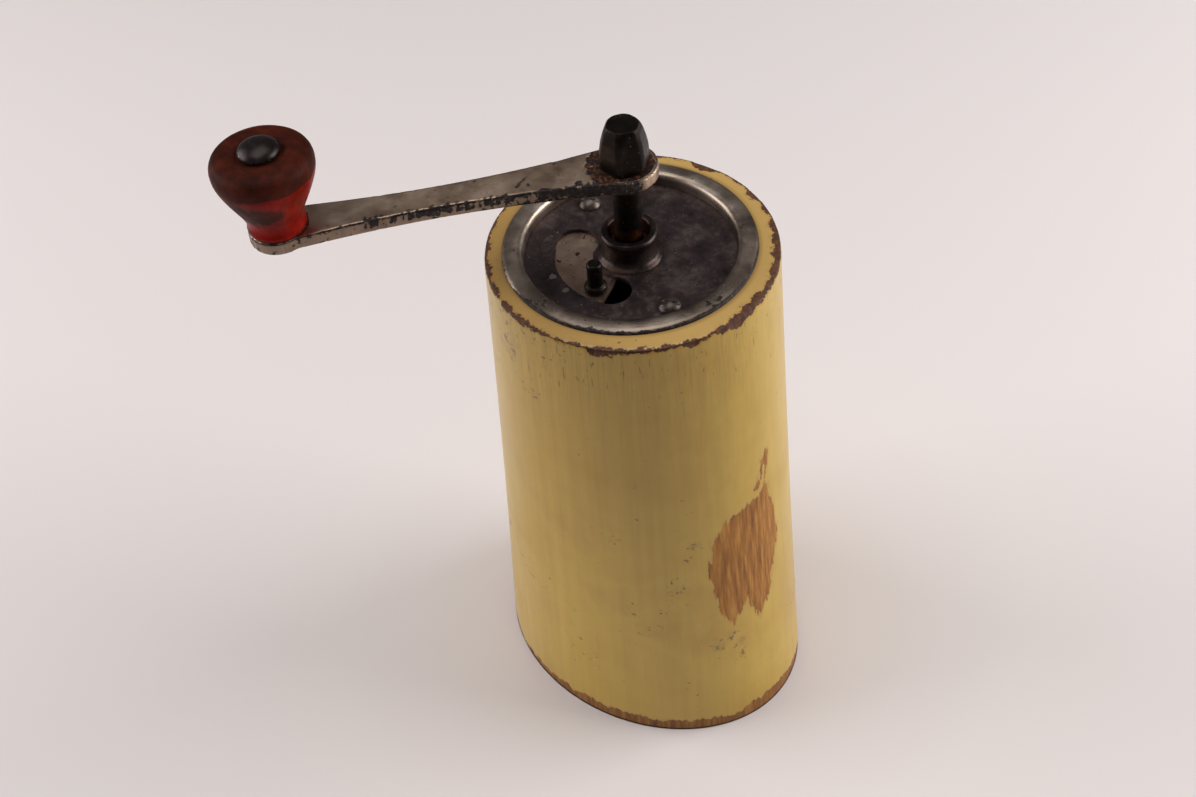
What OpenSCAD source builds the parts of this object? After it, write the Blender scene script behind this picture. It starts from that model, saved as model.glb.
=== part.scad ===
// Hand crank coffee grinder, millimetres. Z up, table at z = 0, spindle on the Z axis,
// long axis of the oval foot along X.

/* [Body] */
// Height of the wooden body
body_h = 178; // [176:0.5:180]
// Half length of the oval foot
foot_a = 54.7; // [53:0.1:56]
// Half width of the oval foot
foot_b = 44.1; // [43:0.1:46]
// Half length of the nearly round top
top_a = 42.5; // [42:0.1:43.5]
// Half width of the nearly round top
top_b = 41.8; // [41.5:0.1:43]
// How far the body stands off the spindle's axis, along X
body_dx = 0.9; // [0:0.1:1.6]
// How far the body stands off the spindle's axis, along Y
body_dy = -0.2; // [-0.5:0.1:0.5]
// Height of the underside of the web that carries the burrs
web_z = 82; // [81:0.5:83]

/* [Top fittings] */
// Outer radius of the rim ring
ring_r = 36.7; // [36.2:0.1:37.5]
// Height of the rim ring above the wood
ring_up = 1.3; // [1:0.1:1.6]
// Depth of the plate below the top of the wood
plate_down = 3; // [2.8:0.1:3.4]
// Height of the bearing boss above the top of the wood
boss_up = 6.15; // [5.5:0.05:7]
// Width of the kidney-shaped fill opening
kidney_w = 11; // [10:0.1:11.4]

/* [Crank] */
// Direction of the crank at rest, degrees from X
crank_deg = 229.8; // [200:0.2:260]
// Distance from the spindle to the knob
crank_r = 94.6; // [88:0.2:100]
// Thickness of the crank arm
arm_t = 4; // [3.5:0.1:4.2]
// Height of the underside of the arm above the top of the wood
arm_up = 25.65; // [24:0.05:28]
// Height of the crank nut
nut_h = 13.3; // [12.5:0.1:14]
// Width of the crank nut across its flats, at its foot
nut_af = 12.9; // [12.6:0.1:13.6]
// Direction that one flat of the crank nut faces, degrees from X
nut_deg = 25.5; // [0:0.5:60]
// Height of the knob
knob_h = 25; // [24:0.5:27]

/* [Shutter] */
// Direction of the shutter's stud at rest, degrees from X
stud_deg = 272; // [222:1:292]
// Height of the shutter's stud above the plate
stud_up = 8.8; // [8:0.1:10.5]

/* [Inside] */
// Gap between the burrs at their lower edge
burr_gap = 0.8; // [0.7:0.05:1]
// Wall of the grounds cup
cup_wall = 0.9; // [0.8:0.1:1.4]

/* [Hidden] */
$fn = 96;

bore_r = 29;                      // hopper and cup chamber
mouth_r = 31.25;                  // bore that takes the plate and the ring's skirt
ledge_z = body_h - plate_down - 1;
plate_z = body_h - plate_down;    // upper face of the plate
web_h = 14;
flange_z = web_z + web_h;         // burr housing's flange sits here
flange_t = 3;
sp_r = 4;                         // spindle
run = 0.06;                       // running clearance, radial
screw_r = 25.3;
screw_degs = [156, 333.5];
rod_r = 2;
stud_r = 16.7;                    // stud's distance from the axis
kidney_r = 16.2;
kidney_a = 200;
kidney_b = 289;
boss_tail_r = 6.95;
arm_z = body_h + arm_up;
arm_top = arm_z + arm_t;
knob_top = arm_top + knob_h;
sq = 5.6;                         // spindle's square
thr_r = 2.75;                     // spindle's threads
burr_h = 16;
burr_z = web_z - 4;               // lower face of the inner burr
burr_r = 18;                      // lower edge of the inner burr
arm_degs = [65, 185, 305];        // spider's arms
// share of the nut's height, and its width there as a share of nut_af
nut_taper = [[0, 1], [0.38, 0.98], [0.66, 0.905], [0.87, 0.79], [1, 0.665]];

C_paint = [0.80, 0.66, 0.40];
C_nickel = [0.62, 0.57, 0.53];
C_dark = [0.24, 0.21, 0.20];
C_black = [0.10, 0.09, 0.09];
C_iron = [0.30, 0.29, 0.28];
C_brass = [0.66, 0.52, 0.28];
C_red = [0.50, 0.09, 0.06];
C_tin = [0.66, 0.66, 0.65];

module ring(ro, ri, z0, z1) {
  translate([0, 0, z0]) difference() {
    cylinder(r = ro, h = z1 - z0);
    translate([0, 0, -1]) cylinder(r = ri, h = z1 - z0 + 2);
  }
}

module at_screws() {
  for (a = screw_degs) rotate([0, 0, a]) translate([screw_r, 0, 0]) children();
}

module body_shell() color(C_paint) difference() {
  translate([body_dx, body_dy, 0]) linear_extrude(height = body_h,
    scale = [top_a / foot_a, top_b / foot_b], slices = 1, $fn = 8)
      scale([foot_a, foot_b]) circle(r = 1, $fn = 144);
  translate([0, 0, ledge_z]) cylinder(r = mouth_r, h = 10);
  translate([0, 0, flange_z]) cylinder(r = bore_r, h = body_h);
  translate([0, 0, -1]) cylinder(r = bore_r, h = web_z + 1);
  translate([0, 0, web_z - 1]) cylinder(r = 21.5, h = web_h + 2);
  at_screws() translate([0, 0, web_z - 1]) cylinder(r = 1.6, h = web_h + 2, $fn = 32);
}

module rim_ring() color(C_nickel) rotate_extrude()
  polygon([[31.15, plate_z], [30.5, plate_z], [30.5, body_h - 0.8], [30.7, body_h + 0.1],
    [31.2, body_h + ring_up * 0.6], [32, body_h + ring_up * 0.9], [33, body_h + ring_up],
    [34.6, body_h + ring_up * 0.98], [35.8, body_h + ring_up * 0.85],
    [ring_r - 0.4, body_h + ring_up * 0.6], [ring_r, body_h + ring_up * 0.28], [ring_r, body_h],
    [31.15, body_h]]);

module kidney(w) {
  intersection() {
    difference() {
      circle(r = kidney_r + w / 2);
      circle(r = kidney_r - w / 2);
    }
    polygon([[0, 0], for (a = [kidney_a : (kidney_b - kidney_a) / 8 : kidney_b + 0.01])
      40 * [cos(a), sin(a)]]);
  }
  translate(kidney_r * [cos(kidney_b), sin(kidney_b)]) circle(d = w + 0.3);
  translate(kidney_r * [cos(kidney_a), sin(kidney_a)]) circle(d = w + 1.4);
}

module top_plate() color(C_dark) translate([0, 0, ledge_z]) linear_extrude(height = 1)
  difference() {
    circle(r = 31.15);
    circle(r = boss_tail_r);
    kidney(kidney_w);
    for (a = screw_degs) rotate(a) translate([screw_r, 0]) circle(r = 1.65, $fn = 32);
  }

module bearing_boss() color(C_dark) rotate_extrude()
  polygon([[5.5, plate_z - 3.2], [boss_tail_r, plate_z - 3.2], [boss_tail_r, plate_z],
    [9.6, plate_z], [9.6, plate_z + 0.6], [8.4, plate_z + 1.5], [7.7, plate_z + 3],
    [7.5, plate_z + 4.6], [7.5, body_h + boss_up - 3.2], [7.9, body_h + boss_up - 3],
    [8.35, body_h + boss_up - 2.5], [8.35, body_h + boss_up - 0.8],
    [8, body_h + boss_up - 0.25], [7.5, body_h + boss_up], [6.3, body_h + boss_up],
    [5.8, body_h + boss_up - 0.4], [5.8, body_h + 3], [5.5, body_h + 2.7]]);

module top_bush() color(C_brass) ring(5.5, sp_r + run, plate_z - 3, body_h + 2.4);

module plate_screws() color(C_dark) at_screws() translate([0, 0, plate_z]) {
  translate([0, 0, -8]) cylinder(r = 1.5, h = 8.2, $fn = 32);
  difference() {
    intersection() {
      cylinder(r = 3.5, h = 2.3, $fn = 48);
      translate([0, 0, -1.8]) sphere(r = 4.05, $fn = 48);
    }
    rotate([0, 0, 50]) translate([-5, -0.5, 1.25]) cube([10, 1, 2]);
  }
}

module tie_rods() color(C_iron) at_screws() difference() {
  union() {
    translate([0, 0, flange_z + flange_t])
      cylinder(r = rod_r, h = ledge_z - flange_z - flange_t, $fn = 32);
    translate([0, 0, web_z - 3.6]) cylinder(r = 1.5, h = web_h + flange_t + 4, $fn = 32);
  }
  translate([0, 0, ledge_z - 8]) cylinder(r = 1.5, h = 9, $fn = 32);
}

module rod_nuts() color(C_iron) at_screws() translate([0, 0, web_z - 2.6]) difference() {
  cylinder(r = 3.2, h = 2.6, $fn = 6);
  translate([0, 0, -1]) cylinder(r = 1.5, h = 5, $fn = 32);
}

module shutter_washer() color(C_iron) ring(9.6, boss_tail_r, plate_z - 3, plate_z - 2.05);

module outer_burr() color(C_iron) difference() {
  union() {
    translate([0, 0, flange_z]) cylinder(r = 28.5, h = flange_t);
    translate([0, 0, burr_z]) cylinder(r = 21.2, h = flange_z - burr_z + 1);
  }
  rotate_extrude() polygon([[0, burr_z - 1], [burr_r + burr_gap + 0.5, burr_z - 1],
    [burr_r + burr_gap, burr_z], [burr_r - 3 + burr_gap, burr_z + 6],
    [burr_r - 4.2 + burr_gap, burr_z + 14], [16.5, flange_z + flange_t],
    [16.5, flange_z + flange_t + 1], [0, flange_z + flange_t + 1]]);
  at_screws() translate([0, 0, flange_z - 1]) cylinder(r = 1.5, h = 6, $fn = 32);
  for (a = arm_degs) rotate([0, 0, a]) translate([20.4, 0, flange_z + 0.6])
    cylinder(r = 1.9, h = 6, $fn = 32);
  for (a = [0 : 30 : 330]) rotate([0, 0, a]) translate([burr_r - 2, 0, burr_z - 1])
    rotate([0, -24, 0]) cylinder(r = 1.1, h = 8, $fn = 24);
}

module burr_bridge() color(C_iron) difference() {
  union() {
    translate([0, 0, flange_z + flange_t]) cylinder(r = 8, h = 9);
    for (a = arm_degs) rotate([0, 0, a]) translate([0, -3.5, flange_z + flange_t])
      cube([20.4, 7, 3]);
    for (a = arm_degs) rotate([0, 0, a]) translate([20.4, 0, flange_z + flange_t])
      cylinder(r = 3.5, h = 3, $fn = 48);
  }
  translate([0, 0, flange_z]) cylinder(r = 5.6, h = 20);
  for (a = arm_degs) rotate([0, 0, a]) translate([20.4, 0, flange_z])
    cylinder(r = 1.95, h = 10, $fn = 32);
}

module bridge_screws() color(C_iron) for (a = arm_degs) rotate([0, 0, a])
  translate([20.4, 0, flange_z + flange_t]) difference() {
    union() {
      translate([0, 0, -2.2]) cylinder(r = 1.9, h = 5.4, $fn = 32);
      translate([0, 0, 3]) cylinder(r = 3.1, h = 2, $fn = 48);
    }
    translate([-4, -0.5, 4.1]) cube([8, 1, 2]);
  }

module bridge_bush() color(C_brass)
  ring(5.6, sp_r + run, flange_z + flange_t + 1, flange_z + flange_t + 9);

module spindle() color(C_black) {
  translate([0, 0, flange_z + 1]) cylinder(r = sp_r, h = arm_z - flange_z - 1);
  translate([-sq / 2, -sq / 2, burr_z - 0.5]) cube([sq, sq, flange_z + 2 - burr_z]);
  translate([0, 0, 66]) cylinder(r = thr_r, h = burr_z - 66, $fn = 48);
  translate([-sq / 2, -sq / 2, arm_z - 1]) cube([sq, sq, arm_t + 0.8]);
  translate([0, 0, arm_z]) cylinder(r = thr_r, h = arm_t + 9.5, $fn = 48);
}

module crank_arm() color(C_nickel) rotate([0, 0, crank_deg]) translate([0, 0, arm_z])
  linear_extrude(height = arm_t) difference() {
    union() {
      circle(r = 9.3);
      translate([crank_r, 0]) circle(r = 8.1);
      difference() {
        translate([0, -8.8]) square([crank_r, 17.6]);
        for (s = [-1, 1]) translate([52, s * 334.7]) circle(r = 330, $fn = 720);
      }
    }
    rotate(-crank_deg) square(sq, center = true);
    translate([crank_r, 0]) circle(r = 2.5, $fn = 48);
  }

module crank_nut() color(C_black) translate([0, 0, arm_top]) difference() {
  intersection() {
    rotate([0, 0, nut_deg - 30]) for (k = [0 : len(nut_taper) - 2])
      translate([0, 0, nut_h * nut_taper[k][0]])
        cylinder(r1 = nut_af / 2 * nut_taper[k][1] / cos(30),
          r2 = nut_af / 2 * nut_taper[k + 1][1] / cos(30),
          h = nut_h * (nut_taper[k + 1][0] - nut_taper[k][0]), $fn = 6);
    rotate_extrude() polygon([[0, 0], [6.75, 0], [7, 0.5], [7, nut_h * 0.32],
      [6.8, nut_h * 0.46], [6.3, nut_h * 0.66], [5.55, nut_h * 0.87], [5, nut_h * 0.95],
      [4.4, nut_h], [0, nut_h]]);
  }
  translate([0, 0, -1]) cylinder(r = thr_r, h = 10.8, $fn = 48);
}

module at_knob() rotate([0, 0, crank_deg]) translate([crank_r, 0, 0]) children();

module knob_pin() color(C_dark) at_knob() {
  translate([0, 0, arm_z - 0.4]) cylinder(r = 2.5, h = arm_t + knob_h + 0.4, $fn = 48);
  translate([0, 0, knob_top - 0.5]) intersection() {
    cylinder(r = 5.65, h = 4, $fn = 48);
    translate([0, 0, 3.1 - 6.7]) sphere(r = 6.7, $fn = 64);
  }
  translate([0, 0, arm_z - 1.2]) cylinder(r1 = 3, r2 = 4.2, h = 1.2, $fn = 48);
}

module knob() color(C_red) at_knob() translate([0, 0, arm_top + 0.1]) rotate_extrude()
  polygon([[2.57, 0], [7.6, 0], [8, 0.4], [8, 1.2], [7.7, 2.2], [7.7, 3], [8, 4.4], [8.6, 6],
    [9.5, 8], [10.5, 10], [11.4, 12], [12.2, 14], [12.9, 15.8], [13.4, 17.2], [13.75, 18.8],
    [13.8, 20.4], [13.6, 21.8], [13.1, 22.9], [12.2, 23.7], [10.6, knob_h - 0.75],
    [8.6, knob_h - 0.45], [6.4, knob_h - 0.3], [6.2, knob_h - 0.7], [2.57, knob_h - 0.7]]);

module burr_spring() color(C_tin) translate([0, 0, burr_z + burr_h])
  linear_extrude(height = flange_z + flange_t + 1 - burr_z - burr_h, twist = -1260,
    slices = 42, $fn = 16) difference() {
      intersection() {
        circle(r = 5.2, $fn = 16);
        translate([0, -10]) square([10, 20]);
      }
      circle(r = 4.4, $fn = 16);
    }

module inner_burr() color(C_iron) difference() {
  rotate_extrude() polygon([[0, burr_z], [burr_r, burr_z], [burr_r - 3, burr_z + 6],
    [9.5, burr_z + burr_h - 2], [8, burr_z + burr_h], [0, burr_z + burr_h]]);
  translate([-sq / 2 - 0.06, -sq / 2 - 0.06, burr_z - 1]) cube([sq + 0.12, sq + 0.12, 30]);
  for (a = [0 : 30 : 330]) rotate([0, 0, a]) translate([burr_r - 0.6, 0, burr_z - 1])
    rotate([0, -27, 0]) cylinder(r = 1, h = 7.5, $fn = 24);
  for (a = [15 : 60 : 330]) rotate([0, 0, a]) translate([16, 0, burr_z + 5])
    rotate([0, -38, 0]) cylinder(r = 1.8, h = 14, $fn = 24);
}

module detent_spring() color(C_tin) {
  translate([8, -2.5, burr_z - 0.7]) cube([5.5, 5, 0.7]);
  translate([11.35, -2.5, burr_z - 7]) cube([0.7, 5, 6.6]);
}

module adjusting_nut() color(C_brass) difference() {
  union() {
    translate([0, 0, burr_z - 10]) cylinder(r = 11, h = 8.2);
    translate([0, 0, burr_z - 2]) cylinder(r = 7, h = 2);
  }
  translate([0, 0, burr_z - 12]) cylinder(r = thr_r + 0.05, h = 14, $fn = 48);
  translate([0, 0, burr_z - 1.8]) cylinder(r = 4.4, h = 3);
  for (a = [0 : 30 : 330]) rotate([0, 0, a]) translate([11.4, 0, burr_z - 11])
    cylinder(r = 1.2, h = 10, $fn = 24);
}

module sector(a0, a1, r) intersection() {
  circle(r = r);
  polygon([[0, 0], for (k = [0 : 6]) 60 * [cos(a0 + (a1 - a0) * k / 6),
    sin(a0 + (a1 - a0) * k / 6)]]);
}

module shutter_plate() color(C_nickel) translate([0, 0, plate_z - 1.95])
  linear_extrude(height = 0.85) difference() {
    union() {
      circle(r = 10.2);
      sector(stud_deg - 115, stud_deg + 14, 22.8);
    }
    circle(r = boss_tail_r + 0.08);
    translate(stud_r * [cos(stud_deg), sin(stud_deg)]) circle(r = 1.5, $fn = 32);
  }

module shutter_stud() color(C_black)
  translate([stud_r * cos(stud_deg), stud_r * sin(stud_deg), 0]) {
    translate([0, 0, plate_z - 2.7]) cylinder(r = 1.5, h = 4, $fn = 32);
    translate([0, 0, plate_z - 2.7]) cylinder(r = 2.6, h = 0.75, $fn = 32);
    translate([0, 0, plate_z - 1.1]) rotate_extrude($fn = 48)
      polygon([[0, 0], [3.3, 0], [3.3, 1.7], [3, 2.2], [2.45, 2.5], [2.3, 2.9],
        [2.2, stud_up + 0.6], [2, stud_up + 0.95], [1.7, stud_up + 1.1], [0, stud_up + 1.1]]);
  }

module grounds_cup() color(C_tin) {
  rotate_extrude() polygon([[0, 14], [28.6 - cup_wall, 14], [28.6 - cup_wall, 2],
    [28.6, 2], [28.6, 66], [28.6 - cup_wall, 66], [28.6 - cup_wall, 14 + cup_wall],
    [0, 14 + cup_wall]]);
  intersection() {
    translate([-30, -1.5, 3]) cube([60, 3, 11.2]);
    cylinder(r = 28.6 - cup_wall / 2, h = 40);
  }
}

body_shell();
rim_ring();
top_plate();
bearing_boss();
top_bush();
plate_screws();
tie_rods();
rod_nuts();
shutter_washer();
outer_burr();
burr_bridge();
bridge_screws();
bridge_bush();
spindle();
crank_arm();
crank_nut();
knob_pin();
knob();
burr_spring();
inner_burr();
detent_spring();
adjusting_nut();
shutter_plate();
shutter_stud();
grounds_cup();
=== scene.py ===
import bmesh
import bpy
import numpy as np
from mathutils import Matrix


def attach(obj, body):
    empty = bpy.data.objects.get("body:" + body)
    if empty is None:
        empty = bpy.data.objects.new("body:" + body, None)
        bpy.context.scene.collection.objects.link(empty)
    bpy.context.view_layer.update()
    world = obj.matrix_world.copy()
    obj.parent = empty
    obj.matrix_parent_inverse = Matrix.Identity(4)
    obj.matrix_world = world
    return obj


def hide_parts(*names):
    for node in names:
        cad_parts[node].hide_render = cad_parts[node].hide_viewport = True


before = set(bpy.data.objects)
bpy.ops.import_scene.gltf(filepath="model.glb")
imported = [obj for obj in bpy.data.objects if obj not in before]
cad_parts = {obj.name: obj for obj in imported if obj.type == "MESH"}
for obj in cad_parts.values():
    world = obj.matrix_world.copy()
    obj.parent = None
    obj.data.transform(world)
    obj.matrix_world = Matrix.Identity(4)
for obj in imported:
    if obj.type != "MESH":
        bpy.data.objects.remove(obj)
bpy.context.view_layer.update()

MM = 0.001
TAU = 2 * np.pi

# Sizes repeated from the design, in millimetres and degrees.
BODY_H = 178.0
FOOT = np.array([54.7, 44.1])
TOP = np.array([42.5, 41.8])
BODY_AT = np.array([0.9, -0.2])
MOUTH_R, BORE_R, WEB_R = 31.25, 29.0, 21.5
LEDGE_Z, PLATE_Z, FLANGE_Z, WEB_Z = 174.0, 175.0, 96.0, 82.0
ARM_Z, ARM_TOP, ARM_THICK = 203.65, 207.65, 4.0
KNOB_TOP = 232.65
CRANK_DEG, CRANK_R, HUB_R, END_R = 229.8, 94.6, 9.3, 8.1
NUT_AF, NUT_DEG, NUT_H = 12.9, 25.5, 13.3
STUD_DEG, STUD_R = 272.0, 16.7
SCREW_R, SCREW_DEGS, SCREW_SLOTS = 25.3, (156.0, 333.5), (206.0, 23.5)


# ---------------------------------------------------------------- shapes

def smooth_step(x, low, high):
    """0 below low, 1 above high, and 3t^2 - 2t^3 between them."""
    t = np.clip((x - low) / (high - low), 0, 1)
    return t * t * (3 - 2 * t)


def ripple(angle, seed, count=14, lowest=3, rough=0.6):
    """A wavy line round a full turn, mostly from -1 to 1: a sum of sines whose height falls with frequency."""
    draws = np.random.default_rng(seed)
    waves = lowest * 1.45 ** np.arange(count)
    waves = np.round(waves).astype(int)
    size = waves ** -rough * draws.uniform(0.5, 1, count)
    shift = draws.uniform(0, TAU, count)
    total = (size[:, None] * np.sin(waves[:, None] * angle.ravel() + shift[:, None])).sum(0)
    return (total / size.sum() * 1.8).reshape(angle.shape)


def eased(corners, cut, closed=False, steps=5):
    """Cuts every corner of a profile back by cut mm and joins the two cuts with a parabola, with a support
    point just outside each cut so that flat stretches stay flat."""
    p = np.array(corners, float)
    back, ahead = p - np.roll(p, 1, 0), np.roll(p, -1, 0) - p
    long_back = np.linalg.norm(back, axis=1, keepdims=True)
    long_ahead = np.linalg.norm(ahead, axis=1, keepdims=True)
    c = np.minimum(np.minimum(cut, 0.36 * long_back), 0.36 * long_ahead)
    a, b = p - back / long_back * c, p + ahead / long_ahead * c
    t = np.linspace(0, 1, steps)[None, :, None]
    curve = (1 - t) ** 2 * a[:, None] + 2 * t * (1 - t) * p[:, None] + t ** 2 * b[:, None]
    outer = 1.3 * c
    curve = np.concatenate([(p - back / long_back * outer)[:, None], curve,
                            (p + ahead / long_ahead * outer)[:, None]], axis=1)
    if closed:
        return curve.reshape(-1, 2)
    return np.concatenate([p[:1], curve[1:-1].reshape(-1, 2), p[-1:]])


def dense(profile, step):
    """Adds evenly spaced points to a profile wherever two neighbours are more than step mm apart."""
    parts = [np.linspace(a, b, max(2, int(np.ceil(np.linalg.norm(b - a) / step)) + 1))[:-1]
             for a, b in zip(profile[:-1], profile[1:])]
    return np.concatenate(parts + [profile[-1:]])


def turned(profile, columns=128, at=(0, 0), wobble=0.0, seed=1):
    """A turned shape: the point (r, z) of the profile at angle t is (r cos t, r sin t, z) about the axis at,
    with r made uneven by wobble mm."""
    t = np.arange(columns) / columns * TAU
    r, z = profile[:, 0][:, None], profile[:, 1][:, None]
    uneven = wobble * ripple(t, seed)[None, :] * np.clip(r, 0, 1)
    r = r + uneven
    return np.stack([at[0] + r * np.cos(t), at[1] + r * np.sin(t), z + 0 * t], axis=-1)


def place_at(radius, degrees):
    """The point at a radius from the spindle's axis and an angle from +X."""
    return radius * np.array([np.cos(np.radians(degrees)), np.sin(np.radians(degrees))])


def turned_to(angle, middle, low, high):
    """How far a place faces the direction middle, in degrees: 0 to 1 as the cosine goes from low to high."""
    return smooth_step(np.cos(angle - np.radians(middle)), low, high)


def quads_of(rows, cols, wrap_rows):
    """Corner numbers of the quads of a grid whose columns always close on themselves."""
    i = np.arange(rows if wrap_rows else rows - 1)[:, None]
    j = np.arange(cols)[None, :]
    i2, j2 = (i + 1) % rows, (j + 1) % cols
    return np.stack([i * cols + j, i * cols + j2, i2 * cols + j2, i2 * cols + j], axis=-1).reshape(-1, 4)


def volume_of(points, quads):
    """Signed volume of a closed grid, as the sum of the tetrahedra on its triangles."""
    a, b, c, d = (points[quads[:, k]] for k in range(4))
    return float((a * (np.cross(b, c) + np.cross(c, d))).sum())


def build(name, sheets, finish, body, stands_for):
    """Makes one piece from closed grids. A sheet is (points in mm as rows by columns by 3, whether its rows
    close, {attribute: rows by columns}). Faces are turned outwards by the sign of the volume, and poles and
    seams are welded."""
    points, faces, values, start = [], [], {}, 0
    names = sorted({k for s in sheets for k in s[2]})
    for grid, wrap_rows, extra in sheets:
        rows, cols = grid.shape[:2]
        flat = grid.reshape(-1, 3) * MM
        quads = quads_of(rows, cols, wrap_rows)
        if volume_of(flat - flat.mean(0), quads) < 0:
            quads = quads[:, ::-1]
        points.append(flat)
        faces.append(quads + start)
        for k in names:
            values.setdefault(k, []).append(np.broadcast_to(extra.get(k, 0.0), (rows, cols)).ravel())
        start += len(flat)
    points, faces = np.concatenate(points), np.concatenate(faces)
    mesh = bpy.data.meshes.new(name)
    mesh.vertices.add(len(points))
    mesh.vertices.foreach_set("co", points.astype(np.float32).ravel())
    mesh.loops.add(faces.size)
    mesh.loops.foreach_set("vertex_index", faces.astype(np.int32).ravel())
    mesh.polygons.add(len(faces))
    mesh.polygons.foreach_set("loop_start", np.arange(0, faces.size, 4, dtype=np.int32))
    mesh.update(calc_edges=True)
    for k, v in values.items():
        store = mesh.attributes.new(k, "FLOAT", "POINT").data
        store.foreach_set("value", np.concatenate(v).astype(np.float32))
    welded = bmesh.new()
    welded.from_mesh(mesh)
    bmesh.ops.remove_doubles(welded, verts=welded.verts[:], dist=1e-6)
    welded.to_mesh(mesh)
    welded.free()
    mesh.polygons.foreach_set("use_smooth", np.ones(len(mesh.polygons), bool))
    mesh.validate()
    mesh.materials.append(finish)
    piece = bpy.data.objects.new(name, mesh)
    bpy.context.scene.collection.objects.link(piece)
    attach(piece, body)
    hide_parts(*stands_for)
    return piece


# ---------------------------------------------------------------- materials

def rgb(code):
    """sRGB hex to the linear colour that the shader takes."""
    c = np.array([int(code[i:i + 2], 16) for i in (0, 2, 4)]) / 255
    return (*np.where(c <= 0.04045, c / 12.92, ((c + 0.055) / 1.055) ** 2.4), 1.0)


def add(tree, kind, wires=None, stops=(), out=None, **settings):
    """Adds one shader node. Settings go to its properties, stops (place, hex) to its ramp, and wires to its
    inputs: a socket is linked and anything else is set. Gives the socket named out, or the first in use."""
    made = tree.nodes.new("ShaderNode" + kind)
    for key, value in settings.items():
        setattr(made, key, value)
    for n, (place, code) in enumerate(stops):
        stop = made.color_ramp.elements[n] if n < 2 else made.color_ramp.elements.new(place)
        stop.position, stop.color = place, rgb(code)
    for key, value in (wires or {}).items():
        if isinstance(value, bpy.types.NodeSocket):
            tree.links.new(value, made.inputs[key])
        else:
            made.inputs[key].default_value = value
    return made.outputs[out] if out else next(o for o in made.outputs if o.enabled)


def blank(name, **constants):
    """An empty material and its shader, with the constants set on the shader's own sockets."""
    finish = bpy.data.materials.new(name)
    finish.use_nodes = True
    tree = finish.node_tree
    tree.nodes.clear()
    shader = tree.nodes.new("ShaderNodeBsdfPrincipled")
    surface = tree.nodes.new("ShaderNodeOutputMaterial")
    tree.links.new(shader.outputs[0], surface.inputs[0])
    for key, value in constants.items():
        shader.inputs[key.replace("_", " ")].default_value = value
    return finish, tree, shader


def noise(tree, place, scale, detail, roughness=0.5):
    """Fractal noise about 0.5; its main lumps are 1 / scale metres apart."""
    return add(tree, "TexNoise", {"Vector": place, "Scale": scale, "Detail": detail, "Roughness": roughness})


def mark(tree, name):
    """Reads one of the wear attributes that the pieces carry."""
    return add(tree, "Attribute", out="Fac", attribute_name=name)


def spread(tree, value, low, high, to_low=0.0, to_high=1.0, **settings):
    """Maps low..high to to_low..to_high in a straight line, held at both ends."""
    return add(tree, "MapRange", {"Value": value, "From Min": low, "From Max": high,
                                  "To Min": to_low, "To Max": to_high}, **settings)


def ease(tree, value, low, high, to_low=0.0, to_high=1.0):
    """The same map, eased at both ends."""
    return spread(tree, value, low, high, to_low, to_high, interpolation_type="SMOOTHSTEP")


def between(tree, share, a, b):
    """The number a where share is 0 and b where it is 1."""
    return add(tree, "Mix", {0: share, 2: a, 3: b})


def blend(tree, share, under, over, kind="MIX"):
    """One colour over another, mixed or multiplied, by share."""
    return add(tree, "Mix", {0: share, 6: under, 7: over}, data_type="RGBA", blend_type=kind)


def maths(tree, operation, *values):
    """One Math node."""
    return add(tree, "Math", dict(enumerate(values)), operation=operation)


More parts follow.
